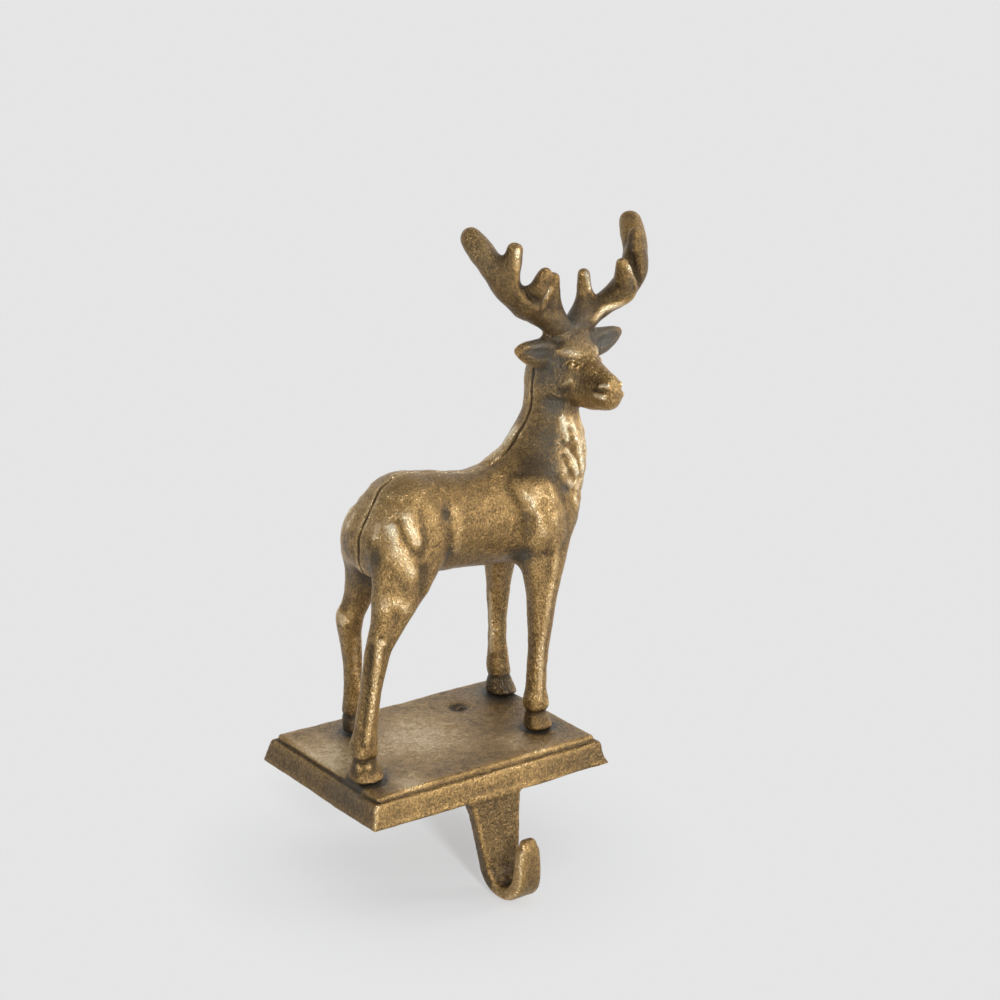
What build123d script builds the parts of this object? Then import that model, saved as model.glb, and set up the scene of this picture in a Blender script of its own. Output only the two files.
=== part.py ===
"""Cast stag stocking holder for a mantel shelf.

A hollow plinth stands on the shelf and drops a hook over its front edge. The stag that stands on
it is cast in a right and a left half that meet on the plane through its spine and are drawn
together by one screw from the left flank. The antlers are one more casting, bridged over the brow
and pegged into the head. A screw up through the plinth holds each hoof.

Frame: the origin is the middle of the plinth's underside, which is the top of the shelf. The stag
walks toward +X, the hook and the stag's face are on the -Y side, and +Z is up.
"""

import os
from math import atan, cos, degrees, pi, sin
from build123d import *

os.makedirs("parts", exist_ok=True)

# Plinth
foot_length = 108.0
foot_width = 77.3
skirt_height = 8.8
skirt_inset = 2.4
ledge = 1.8
step_height = 2.4
step_bevel = 0.8
plinth_wall = 4.2
plinth_roof = 4.6
pit_radius = 3.2
pit_depth = 1.1
pit_x = 22.6
pit_y = 17.6

# Hook
strap_width = 20.7
strap_thickness = 4.2
strap_bevel = 0.5
bend_width = 13.6
bend_thickness = 5.0
bend_bevel = 1.6
bend_gap = 12.0
hook_reach = 10.0
hook_drop = 37.6
finger_height = 16.6
finger_width = 11.0
finger_thickness = 4.8
finger_crown = 3.2

# Stag
body_wall = 5.0
head_x = 56.0
eye_y = -13.4
eye_height = 141.8
ear_y = -4.4

# Antler bridge and peg
bridge_radius = 4.6
bridge_height = 151.2
root_y = -3.6
peg_radius = 2.6
peg_depth = 7.0

# Screws and fits
fit = 0.1
body_screw_radius = 2.0
body_screw_head = 3.6
body_screw_head_height = 2.6
body_screw_x = 4.0
body_screw_height = 85.0
body_screw_seat = 10.4
body_screw_grip = 9.0
pillar_radius = 5.2
hoof_screw_radius = 1.5
hoof_screw_head = 2.75
hoof_screw_head_height = 2.0
hoof_screw_grip = 7.0
slot_width = 0.9
slot_depth = 1.0

# The stag's sections. Heights are above the top of the plinth, and the first section of each leg
# is its hoof, where its screw goes. Torso: distance along the body, height, half height, half width.
torso_sections = [
    (-35.4, 80.4, 5.8, 9.0),
    (-33.0, 80.8, 9.4, 13.8),
    (-28.6, 83.4, 14.4, 16.6),
    (-20.5, 86.4, 19.2, 17.4),
    (-6.0, 86.4, 19.0, 16.8),
    (10.0, 84.8, 18.4, 16.6),
    (25.0, 84.0, 18.8, 17.2),
    (40.0, 83.0, 18.0, 16.6),
    (53.0, 84.6, 14.6, 13.0),
]
# Neck and chest: height, distance along the body, half length, half width.
neck_sections = [
    (72.0, 48.0, 11.4, 9.0),
    (82.0, 45.4, 18.6, 13.6),
    (93.0, 45.0, 20.2, 15.4),
    (103.0, 46.6, 18.6, 15.6),
    (112.0, 49.8, 14.6, 13.8),
    (121.0, 51.4, 10.6, 12.0),
    (133.0, 51.4, 9.2, 11.2),
    (146.0, 52.4, 8.6, 10.2),
]
# Head: distance across the body, height, half width, half height.
head_sections = [
    (7.5, 142.0, 5.0, 6.0),
    (2.0, 140.2, 8.8, 11.8),
    (-5.0, 138.4, 9.6, 13.8),
    (-12.5, 137.2, 9.0, 12.4),
    (-19.5, 134.2, 6.8, 9.5),
    (-26.0, 132.9, 5.6, 7.3),
    (-31.6, 132.8, 4.6, 5.6),
]
# Ears: distance out from the middle of the head, height, half thickness, half height.
ear_sections = [
    (5.5, 144.6, 2.6, 3.8),
    (12.0, 145.6, 3.1, 5.2),
    (18.0, 146.8, 2.7, 4.9),
    (22.5, 148.2, 1.7, 2.8),
    (25.0, 149.0, 0.8, 1.1),
]
# Legs from the hoof up: distance along the body, across it, height, half length, half width.
right_fore = [
    (36.2, -16.2, 0.0, 5.6, 5.2),
    (35.8, -16.4, 2.4, 5.3, 4.9),
    (35.0, -16.5, 6.6, 4.3, 4.0),
    (34.9, -16.5, 10.2, 4.9, 4.5),
    (34.8, -16.5, 17.0, 4.2, 3.9),
    (35.2, -16.4, 28.0, 4.0, 3.8),
    (36.3, -16.0, 41.0, 4.7, 4.4),
    (37.0, -15.4, 52.0, 5.7, 5.2),
    (38.0, -14.4, 62.0, 7.8, 6.0),
    (39.8, -12.8, 73.0, 10.6, 6.4),
    (41.2, -11.4, 84.0, 11.6, 6.4),
    (41.6, -10.2, 94.0, 9.6, 6.0),
]
left_fore = [
    (45.9, 20.2, 0.0, 6.2, 5.6),
    (45.4, 20.1, 2.4, 5.9, 5.4),
    (44.4, 20.0, 7.4, 4.7, 4.4),
    (43.8, 20.0, 12.0, 4.6, 4.3),
    (42.9, 19.5, 22.0, 3.9, 3.7),
    (42.2, 18.9, 33.0, 3.8, 3.6),
    (41.4, 17.8, 43.0, 4.4, 4.1),
    (40.6, 16.2, 53.0, 5.4, 5.0),
    (40.2, 14.4, 63.0, 7.6, 6.0),
    (40.6, 12.8, 73.0, 10.4, 6.4),
    (41.2, 11.4, 84.0, 11.6, 6.4),
    (41.6, 10.2, 94.0, 9.6, 6.0),
]
right_hind = [
    (-43.8, -17.8, 0.0, 5.6, 5.2),
    (-44.0, -18.0, 2.8, 5.5, 5.1),
    (-44.3, -18.0, 6.8, 4.6, 4.3),
    (-44.8, -18.0, 11.2, 5.2, 4.7),
    (-43.9, -18.0, 19.5, 4.2, 4.0),
    (-42.5, -18.0, 30.5, 3.7, 3.6),
    (-40.0, -17.5, 41.0, 4.2, 3.9),
    (-37.0, -17.0, 50.5, 5.3, 4.6),
    (-32.4, -16.4, 58.6, 7.6, 5.4),
    (-27.0, -15.0, 68.0, 11.6, 6.6),
    (-22.6, -12.6, 79.0, 13.4, 6.8),
    (-20.0, -10.2, 91.0, 11.6, 6.6),
]
left_hind = [
    (-23.4, 20.6, 0.0, 4.8, 4.6),
    (-23.8, 20.4, 2.8, 4.6, 4.4),
    (-25.0, 20.2, 9.0, 3.8, 3.7),
    (-25.2, 20.0, 20.0, 3.4, 3.4),
    (-25.3, 20.0, 30.0, 3.8, 3.7),
    (-26.2, 20.0, 39.0, 4.2, 4.0),
    (-26.8, 19.2, 46.5, 5.0, 4.6),
    (-24.0, 18.0, 54.5, 5.6, 5.2),
    (-21.8, 16.0, 64.0, 7.8, 6.0),
    (-21.0, 13.6, 75.0, 11.2, 6.6),
    (-20.0, 10.4, 90.0, 11.6, 6.6),
]
# Eyes: distance out from the middle of the head, radius.
eye_sections = [(6.4, 2.6), (8.9, 2.1), (9.7, 1.0)]
# Ear hollows, open toward the face: the same, with the hollow's depth behind the ear's front edge.
ear_hollows = [
    (9.5, 145.4, 0.6, 1.6),
    (13.0, 145.9, 2.2, 3.4),
    (18.0, 146.9, 1.9, 3.1),
    (21.6, 147.9, 0.6, 1.4),
]
# Antler branches from root to tip: distance out from the middle of the head, across, height, radius.
beam = [
    (4.6, -3.6, 149.0, 4.6),
    (10.0, -3.9, 156.4, 4.9),
    (16.6, -5.2, 160.4, 4.9),
    (23.8, -6.0, 164.8, 5.0),
    (30.0, -4.8, 171.2, 4.9),
    (34.0, -1.0, 179.0, 4.6),
    (36.2, 4.0, 185.2, 4.2),
    (37.6, 7.8, 189.4, 3.4),
    (38.2, 9.2, 191.2, 1.7),
]
second_tine = [
    (30.2, -4.4, 171.0, 4.2),
    (29.4, -6.6, 180.0, 3.6),
    (28.6, -7.2, 187.0, 3.0),
    (28.4, -7.3, 189.4, 1.4),
]
forward_tine = [
    (22.6, -6.2, 163.0, 4.2),
    (20.2, -10.4, 170.4, 3.6),
    (18.2, -12.2, 177.2, 3.0),
    (17.8, -12.5, 179.4, 1.4),
]
brow_tine = [
    (6.8, -3.6, 152.6, 4.6),
    (7.4, -3.2, 164.4, 3.4),
    (7.2, -3.1, 172.4, 2.9),
    (7.2, -3.1, 174.6, 1.4),
]

# Places that several pieces share
plinth_height = skirt_height + step_height
shoulder_length = foot_length - 2 * skirt_inset
shoulder_width = foot_width - 2 * skirt_inset
step_length = shoulder_length - 2 * ledge
step_width = shoulder_width - 2 * ledge
hollow_height = plinth_height - plinth_roof
front_y = -foot_width / 2
strap_y = front_y + strap_thickness / 2
bend_radius = (bend_gap + bend_thickness) / 2
bend_y = front_y - hook_reach
bend_z = -hook_drop + bend_radius + bend_thickness / 2
finger_z = bend_z + finger_height
right_hooves = [right_fore[0][:2], right_hind[0][:2]]
left_hooves = [left_fore[0][:2], left_hind[0][:2]]
screw_z = plinth_height + body_screw_height
bridge_z = plinth_height + bridge_height
peg_z = bridge_z - peg_depth
middle = Plane.YZ.offset(head_x)


def oval(half_length, half_width, sides):
    """Corners of an oval cut in flats, with a flat square to each axis."""
    turns = [2 * pi * (k + 0.5) / sides for k in range(sides)]
    return [(half_length * cos(turn), half_width * sin(turn)) for turn in turns]


def flats(piece):
    """The same solid, with each four-cornered patch of its loft laid as two flat triangles."""
    faces = []
    for face in piece.faces():
        corners = [edge @ 0 for edge in face.outer_wire().order_edges()]
        if len(corners) == 4:
            faces.append(Face(Wire.make_polygon(corners[:3])))
            faces.append(Face(Wire.make_polygon(corners[2:] + corners[:1])))
        else:
            faces.append(face)
    return Solid(Shell(faces))


def bevelled(width, thickness, bevel):
    """Corners of a rectangle with its four corners cut off."""
    x, y = width / 2, thickness / 2
    right = [(x, bevel - y), (x, y - bevel), (x - bevel, y)]
    left = [(bevel - x, y), (-x, y - bevel), (-x, bevel - y)]
    return right + left + [(bevel - x, -y), (x - bevel, -y)]


# Hook: a strap that narrows down from the skirt's foot, a half-round bend and a finger that rises
# in front of it.
with BuildPart() as hook:
    with BuildSketch(Plane((0, strap_y, 0), x_dir=(1, 0, 0), z_dir=(0, 0, -1))):
        Polygon(*bevelled(strap_width, strap_thickness, strap_bevel), align=None)
    for step in range(9):
        turn = pi * step / 8
        width = bend_width + (finger_width - bend_width) * step / 8
        spot = (0, bend_y + bend_radius * cos(turn), bend_z - bend_radius * sin(turn))
        with BuildSketch(Plane(spot, x_dir=(1, 0, 0), z_dir=(0, -sin(turn), -cos(turn)))):
            Polygon(*bevelled(width, bend_thickness, bend_bevel), align=None)
    with BuildSketch(Plane((0, bend_y - bend_radius, finger_z - finger_crown), x_dir=(1, 0, 0))):
        Polygon(*bevelled(finger_width, finger_thickness, bend_bevel), align=None)
    with BuildSketch(Plane((0, bend_y - bend_radius, finger_z), x_dir=(1, 0, 0))):
        Polygon(*bevelled(finger_width / 2, finger_thickness / 2, bend_bevel / 2), align=None)
    loft(ruled=True)

# Plinth: a sloped skirt, a raised step with a bevelled edge and a hollow underneath. The hook is
# cast on under the front of the skirt.
with BuildPart() as plinth:
    with BuildSketch(Plane.XY):
        Rectangle(foot_length, foot_width)
    extrude(amount=skirt_height, taper=degrees(atan(skirt_inset / skirt_height)))
    with BuildSketch(Plane.XY.offset(skirt_height)):
        Rectangle(step_length, step_width)
    extrude(amount=step_height)
    chamfer(plinth.faces().sort_by(Axis.Z)[-1].edges(), step_bevel)
    with BuildSketch(Plane.XY):
        Rectangle(foot_length - 2 * plinth_wall, foot_width - 2 * plinth_wall)
    extrude(amount=hollow_height, mode=Mode.SUBTRACT)
    with BuildSketch(Plane.XY.offset(plinth_height)):
        with Locations(*right_hooves, *left_hooves):
            Circle(hoof_screw_radius + fit)
    extrude(amount=-plinth_roof, mode=Mode.SUBTRACT)
    with BuildSketch(Plane.XY.offset(plinth_height)):
        with Locations((pit_x, pit_y)):
            RegularPolygon(pit_radius, 12)
    extrude(amount=-pit_depth, taper=30, mode=Mode.SUBTRACT)
    add(flats(hook.part))

# Stag: the forms that the sculptor joined, before they are parted along the spine.
with BuildPart() as torso:
    for x, z, half_height, half_width in torso_sections:
        with BuildSketch(Plane.YZ.offset(x)):
            with Locations((0, plinth_height + z)):
                Polygon(*oval(half_width, half_height, 28), align=None)
    loft(ruled=True)

with BuildPart() as neck:
    for z, x, half_length, half_width in neck_sections:
        with BuildSketch(Plane.XY.offset(plinth_height + z)):
            with Locations((x, 0)):
                Polygon(*oval(half_length, half_width, 28), align=None)
    loft(ruled=True)

with BuildPart() as legs:
    for sections in (right_fore, left_fore, right_hind, left_hind):
        for x, y, z, half_length, half_width in sections:
            with BuildSketch(Plane.XY.offset(plinth_height + z)):
                with Locations((x, y)):
                    Polygon(*oval(half_length, half_width, 16), align=None)
        loft(ruled=True)

with BuildPart() as ear:
    for out, z, half_thickness, half_height in ear_sections:
        with BuildSketch(Plane.YZ.offset(head_x - out)):
            with Locations((ear_y, plinth_height + z)):
                Polygon(*oval(half_thickness, half_height, 12), align=None)
    loft(ruled=True)

with BuildPart() as ear_hollow:
    for out, z, depth, half_height in ear_hollows:
        with BuildSketch(Plane.YZ.offset(head_x - out)):
            with Locations((ear_y - ear_sections[1][2], plinth_height + z)):
                Polygon(*oval(depth, half_height, 12), align=None)
    loft(ruled=True)

with BuildPart() as eye:
    for out, radius in eye_sections:
        with BuildSketch(Plane.YZ.offset(head_x - out)):
            with Locations((eye_y, plinth_height + eye_height)):
                Polygon(*oval(radius, radius, 10), align=None)
    loft(ruled=True)

with BuildPart() as skull:
    for y, z, half_width, half_height in head_sections:
        with BuildSketch(Plane.XZ.offset(-y)):
            with Locations((head_x, plinth_height + z)):
                Polygon(*oval(half_width, half_height, 24), align=None)
    loft(ruled=True)

with BuildPart() as head:
    add(flats(ear.part))
    add(flats(ear_hollow.part), mode=Mode.SUBTRACT)
    add(flats(eye.part))
    mirror(about=middle)
    add(flats(skull.part))

# The torso is cored out, all but a pillar for the screw that draws the halves together.
with BuildPart() as core:
    for x, z, half_height, half_width in torso_sections[3:8]:
        with BuildSketch(Plane.YZ.offset(x)):
            with Locations((0, plinth_height + z)):
                Polygon(*oval(half_width - body_wall, half_height - body_wall, 16), align=None)
    loft(ruled=True)

with BuildPart() as cavity:
    add(flats(core.part))
    with BuildSketch(Plane.XZ):
        with Locations((body_screw_x, screw_z)):
            Circle(pillar_radius)
    extrude(amount=foot_width, both=True, mode=Mode.SUBTRACT)

limbs = [flats(leg) for leg in legs.solids()]
with BuildPart() as stag:
    add([flats(torso.part), flats(neck.part), *limbs, head.part])
    add(cavity.part, mode=Mode.SUBTRACT)

# Right half, with the whole face: a blind hole for the screw and a socket for the antlers' peg.
with BuildPart() as right_half:
    add(stag.part)
    split(bisect_by=Plane.XZ, keep=Keep.TOP)
    with BuildSketch(Plane.XZ):
        with Locations((body_screw_x, screw_z)):
            Circle(body_screw_radius + fit)
    extrude(amount=body_screw_grip + fit, mode=Mode.SUBTRACT)
    with BuildSketch(Plane.XY.offset(plinth_height)):
        with Locations(*right_hooves):
            Circle(hoof_screw_radius + fit)
    extrude(amount=hoof_screw_grip + fit, mode=Mode.SUBTRACT)
    with BuildSketch(Plane.XY.offset(peg_z)):
        with Locations((head_x, root_y)):
            Circle(peg_radius + fit)
    extrude(amount=bridge_radius + peg_depth, mode=Mode.SUBTRACT)

# Left half: the screw passes through it, with its head sunk in the flank.
with BuildPart() as left_half:
    add(stag.part)
    split(bisect_by=Plane.XZ, keep=Keep.BOTTOM)
    with BuildSketch(Plane.XZ):
        with Locations((body_screw_x, screw_z)):
            Circle(body_screw_radius + fit)
    extrude(amount=-body_screw_seat, mode=Mode.SUBTRACT)
    with BuildSketch(Plane.XZ.offset(-body_screw_seat)):
        with Locations((body_screw_x, screw_z)):
            Circle(body_screw_head + fit)
    extrude(amount=-foot_width / 2, mode=Mode.SUBTRACT)
    with BuildSketch(Plane.XY.offset(plinth_height)):
        with Locations(*left_hooves):
            Circle(hoof_screw_radius + fit)
    extrude(amount=hoof_screw_grip + fit, mode=Mode.SUBTRACT)


def branch(stations, way):
    """Antler branch lofted through round sections that all face one way."""
    with BuildPart() as limb:
        for out, y, z, radius in stations:
            with BuildSketch(Plane((head_x - out, y, plinth_height + z), x_dir=(0, 1, 0), z_dir=way)):
                Polygon(*oval(radius, radius, 12), align=None)
        loft(ruled=True)
    return flats(limb.part)


# Antlers: one casting, bridged over the brow, that sits down on the head with a peg in its socket.
antler_beam = branch(beam, (-1, 0, 1))
antler_tines = [branch(tine, (0, 0, 1)) for tine in (second_tine, forward_tine, brow_tine)]
with BuildPart() as antlers:
    add(antler_beam)
    for tine in antler_tines:
        add(tine)
    mirror(about=middle)
    with BuildSketch(middle):
        with Locations((root_y, bridge_z)):
            Polygon(*oval(bridge_radius, bridge_radius, 12), align=None)
    extrude(amount=beam[0][0], both=True)
    add(head.part, mode=Mode.SUBTRACT)
    with BuildSketch(Plane.XY.offset(peg_z + fit)):
        with Locations((head_x, root_y)):
            Circle(peg_radius)
    extrude(amount=bridge_radius / 2 + peg_depth - fit)

# Screws: one through the left flank into the right half, and one up into each hoof.
with BuildPart() as body_screw:
    with BuildSketch(Plane.XZ.offset(-body_screw_seat)):
        with Locations((body_screw_x, screw_z)):
            Circle(body_screw_head)
    extrude(amount=-body_screw_head_height)
    with BuildSketch(Plane.XZ.offset(-body_screw_seat - body_screw_head_height)):
        with Locations((body_screw_x, screw_z)):
            Rectangle(2 * body_screw_head, slot_width)
    extrude(amount=slot_depth, mode=Mode.SUBTRACT)
    with BuildSketch(Plane.XZ.offset(-body_screw_seat)):
        with Locations((body_screw_x, screw_z)):
            Circle(body_screw_radius)
    extrude(amount=body_screw_seat + body_screw_grip)

with BuildPart() as hoof_screws:
    with BuildSketch(Plane.XY.offset(hollow_height)):
        with Locations(*right_hooves, *left_hooves):
            Circle(hoof_screw_head)
    extrude(amount=-hoof_screw_head_height)
    with BuildSketch(Plane.XY.offset(hollow_height - hoof_screw_head_height)):
        with Locations(*right_hooves, *left_hooves):
            Rectangle(2 * hoof_screw_head, slot_width)
    extrude(amount=slot_depth, mode=Mode.SUBTRACT)
    with BuildSketch(Plane.XY.offset(hollow_height)):
        with Locations(*right_hooves, *left_hooves):
            Circle(hoof_screw_radius)
    extrude(amount=plinth_roof + hoof_screw_grip)

plinth.part.label = "plinth"
export_step(plinth.part, "parts/plinth.step")
right_half.part.label = "right_half"
export_step(right_half.part, "parts/right_half.step")
left_half.part.label = "left_half"
export_step(left_half.part, "parts/left_half.step")
antlers.part.label = "antlers"
export_step(antlers.part, "parts/antlers.step")
body_screw.part.label = "body_screw"
export_step(body_screw.part, "parts/body_screw.step")
hoof_screws.part.label = "hoof_screws"
export_step(hoof_screws.part, "parts/hoof_screws.step")
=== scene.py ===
import bpy
import numpy as np
import openvdb
from mathutils import Matrix, Vector


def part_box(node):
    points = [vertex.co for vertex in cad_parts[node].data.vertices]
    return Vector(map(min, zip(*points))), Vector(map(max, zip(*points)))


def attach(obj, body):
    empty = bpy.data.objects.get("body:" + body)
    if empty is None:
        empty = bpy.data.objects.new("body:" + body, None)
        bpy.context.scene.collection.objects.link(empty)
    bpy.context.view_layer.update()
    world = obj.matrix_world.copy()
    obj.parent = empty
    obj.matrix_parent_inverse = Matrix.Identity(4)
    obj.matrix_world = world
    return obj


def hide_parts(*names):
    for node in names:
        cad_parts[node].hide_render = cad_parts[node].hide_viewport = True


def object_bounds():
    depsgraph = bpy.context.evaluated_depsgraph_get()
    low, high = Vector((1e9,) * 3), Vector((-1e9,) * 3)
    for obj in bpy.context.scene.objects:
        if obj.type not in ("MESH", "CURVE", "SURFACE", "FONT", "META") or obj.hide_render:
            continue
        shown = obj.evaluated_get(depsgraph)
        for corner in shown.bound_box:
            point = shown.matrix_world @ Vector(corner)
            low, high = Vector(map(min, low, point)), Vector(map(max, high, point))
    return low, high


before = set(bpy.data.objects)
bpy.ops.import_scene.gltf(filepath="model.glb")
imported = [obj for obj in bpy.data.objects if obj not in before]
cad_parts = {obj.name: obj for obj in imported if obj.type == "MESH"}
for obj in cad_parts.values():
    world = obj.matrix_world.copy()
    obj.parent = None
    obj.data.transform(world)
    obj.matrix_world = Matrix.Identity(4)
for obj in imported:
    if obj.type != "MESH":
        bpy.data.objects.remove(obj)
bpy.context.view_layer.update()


# Plinth and hook: one iron casting, sand-moulded hollow underneath. A sloped skirt carries a low
# raised step, and the strap, bend and finger of the hook are cast on under the front edge.
plinth_low, plinth_high = (1000 * np.array(corner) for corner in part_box("plinth"))
hook_drop = -plinth_low[2]
plinth_top = plinth_high[2]
foot_half = np.array([plinth_high[0], plinth_high[1]])
left_x, front_y = -foot_half
plinth_grid = 0.6
plinth_room = ((-56, -61.5, -40), (56, 41, 13))
skirt_height = 8.8
skirt_inset = 2.4
skirt_corner = 0.9
skirt_edge = 1.2
ledge = 1.8
ledge_fillet = 0.9
step_edge = 1.6
plinth_wall = 4.2
hollow_height = 6.6
foot_edge = 0.5

# Where each hoof stands on the step: its middle and half sizes
right_fore_hoof = (36.2, -16.2, 5.6, 5.2)
left_fore_hoof = (45.9, 20.2, 6.2, 5.6)
right_hind_hoof = (-44.8, -19.2, 6.2, 6.2)
left_hind_hoof = (-23.4, 20.6, 4.8, 4.6)

# A round flaw of the casting at the back of the step
pit_spot = (22.6, 17.6)
pit_width = 3.4
pit_depth = 1.6
pit_reach = 2.4

strap_inset = 2.1
strap_y = front_y + strap_inset
strap_heights = (0.6, -1.0)
hook_reach = 10.0
hook_lift = 4.0
hook_fillet = 1.0
bend_radius = 8.5
bend_y = front_y - hook_reach
bend_z = -hook_drop + bend_radius + hook_lift
bend_steps = 19
finger_rise = 12.7
# Share of the way from the skirt to the tip, then the hook's width, thickness, edge rounding and lean
hook_rows = [
    (0.0, 23.4, 4.4, 0.6, -0.5),
    (0.05, 22.0, 4.4, 0.6, -0.2),
    (0.1, 20.6, 4.4, 0.6, 0.1),
    (0.4, 15.4, 4.8, 0.8, 0.7),
    (0.6, 13.0, 5.0, 1.8, 0.7),
    (0.79, 11.0, 5.6, 2.6, 0.9),
    (0.9, 10.2, 5.8, 2.7, 0.9),
    (0.97, 9.0, 5.4, 2.5, 0.9),
    (1.0, 6.6, 4.8, 2.2, 0.9),
]
# Beads of slag inside the bend: the box they lie in and their number. Knobs run up the finger's left edge.
bead_room = ((-4.5, -46, -34.5), (5, -41, -29.5))
bead_count = 14
knob_start, knob_step = np.array((-3.9, -53.6, -31.5)), np.array((0.1, -0.5, 2.0))
knob_count = 6
# Height, spacing and seed of the lumps that sand leaves on the casting
plinth_lumps = [(0.3, 14.0, 10), (0.12, 5.0, 11), (0.1, 2.0, 12)]


def lattice(low, high, step):
    """The three axes of a cubic grid over a box, in millimetres."""
    return [np.arange(a, b + step, step, dtype=np.float32) for a, b in zip(low, high)]


def open_grid(axes):
    """Coordinates of a grid's points, as three arrays that broadcast against each other."""
    return np.meshgrid(*axes, indexing="ij", sparse=True)


def joined(a, b, blend):
    """Smooth union of two distances: the lesser one, filleted over about the blend's length."""
    share = np.clip(0.5 + 0.5 * (b - a) / blend, 0, 1)
    return b + (a - b) * share - blend * share * (1 - share)


def within(a, b, blend):
    """Smooth intersection of two distances: the greater one, rounded over the same way."""
    return -joined(-a, -b, blend)


def rounded_slab(u, v, half_u, half_v, radius):
    """Distance to a rectangle of those half sizes whose corners are rounded to the radius."""
    over_u = np.abs(u) - half_u + radius
    over_v = np.abs(v) - half_v + radius
    outside = np.hypot(np.maximum(over_u, 0), np.maximum(over_v, 0))
    return outside + np.minimum(np.maximum(over_u, over_v), 0) - radius


def nearest_on_path(u, v, path):
    """Distance from points of a plane to a path of straight runs, and how far along it they are."""
    corners = np.array(path)
    lengths = np.hypot(*np.diff(corners, axis=0).T)
    gone = np.concatenate([[0], np.cumsum(lengths)])
    distance, along = np.full(np.broadcast(u, v).shape, np.inf), 0
    for start, end, before, length in zip(corners, corners[1:], gone, lengths):
        way = (end - start) / length
        t = np.clip((u - start[0]) * way[0] + (v - start[1]) * way[1], 0, length)
        d = np.hypot(u - start[0] - t * way[0], v - start[1] - t * way[1])
        along = np.where(d < distance, before + t, along)
        distance = np.minimum(distance, d)
    return distance, along / gone[-1]


def from_run(spots, start, end):
    """Distance of points from a straight run between two places, and how far along it they lie, 0 to 1."""
    way = end - start
    offsets = [place - s for place, s in zip(spots, start)]
    t = np.clip(sum(o * w for o, w in zip(offsets, way)) / max(way @ way, 1e-6), 0, 1)
    return np.sqrt(sum((o - t * w) ** 2 for o, w in zip(offsets, way))), t


def bell(away, width):
    """Bell curve of a distance: 1 on the spot, and less than half from the width on."""
    return np.exp(-((away / width) ** 2))


def ramped(value, start, end):
    """Straight rise from 0 at the start to 1 at the end, level beyond both. The start may be the greater."""
    return np.clip((value - start) / (end - start), 0, 1)


def carve(field, axes, strokes):
    """Works strokes into a field. Each is a width, a depth and a path of points, and the field changes by
    the depth times a bell curve of the distance from the path, as far as 2.4 widths beyond its ends. A
    negative depth raises the surface."""
    for width, depth, *path in strokes:
        points = np.array(path + path[-1:], dtype=np.float32)
        reach = 2.4 * width
        spans = zip(axes, points.min(axis=0) - reach, points.max(axis=0) + reach)
        window = tuple(slice(*np.searchsorted(places, (low, high))) for places, low, high in spans)
        spots = open_grid([places[part] for places, part in zip(axes, window)])
        away = np.float32(1e3)
        for start, end in zip(points, points[1:]):
            away = np.minimum(away, from_run(spots, start, end)[0])
        field[window] += depth * bell(away, width)


def lumps(axes, spacing, seed):
    """Random relief: normal values on a wide lattice, spread between its points by cubic weights."""
    counts = [int((a[-1] - a[0]) / spacing) + 5 for a in axes]
    relief = np.random.default_rng(seed).normal(size=counts).astype(np.float32)
    for axis, places in enumerate(axes):
        at = (places - places[0]) / spacing
        cell = np.floor(at).astype(int)
        u = at - cell
        weights = [(1 - u) ** 3, 3 * u**3 - 6 * u**2 + 4, -3 * u**3 + 3 * u**2 + 3 * u + 1, u**3]
        shape = [-1 if k == axis else 1 for k in range(3)]
        spread = [np.take(relief, cell + k, axis) * w.reshape(shape) / 6 for k, w in enumerate(weights)]
        relief = sum(spread).astype(np.float32)
    return relief


def roughened(field, axes, rows):
    """Adds random relief to a field. Each row is a height, a spacing and a seed."""
    for height, spacing, seed in rows:
        field = field + height * lumps(axes, spacing, seed)
    return field


def blurred(field, reach):
    """Mean of a field over a cube that reaches some grid steps each way, worked one axis at a time."""
    for axis in range(3):
        pad = [(reach + 1, reach) if k == axis else (0, 0) for k in range(3)]
        total = np.cumsum(np.pad(field, pad, mode="edge"), axis=axis, dtype=np.float32)
        count = field.shape[axis]
        span = 2 * reach + 1
        far = np.take(total, np.arange(span, span + count), axis)
        near = np.take(total, np.arange(count), axis)
        field = (far - near) / span
    return field


def sampled(field, spots):
    """Value of a field at spots given in grid steps, mixed from the eight grid points round each."""
    base = np.clip(np.floor(spots).astype(int), 0, np.array(field.shape) - 2)
    u = spots - base
    total = 0
    for corner in np.ndindex(2, 2, 2):
        weight = np.prod(np.where(corner, u, 1 - u), axis=1)
        total = total + weight * field[tuple((base + corner).T)]
    return total


# Distances over which the relief of edges and of broad forms is told, and the lowest that a hollow counts
relief_reaches = {"edge_relief_and_painted_light": 1.0, "form_relief_and_painted_light": 4.0}
deepest_relief = -0.08


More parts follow.
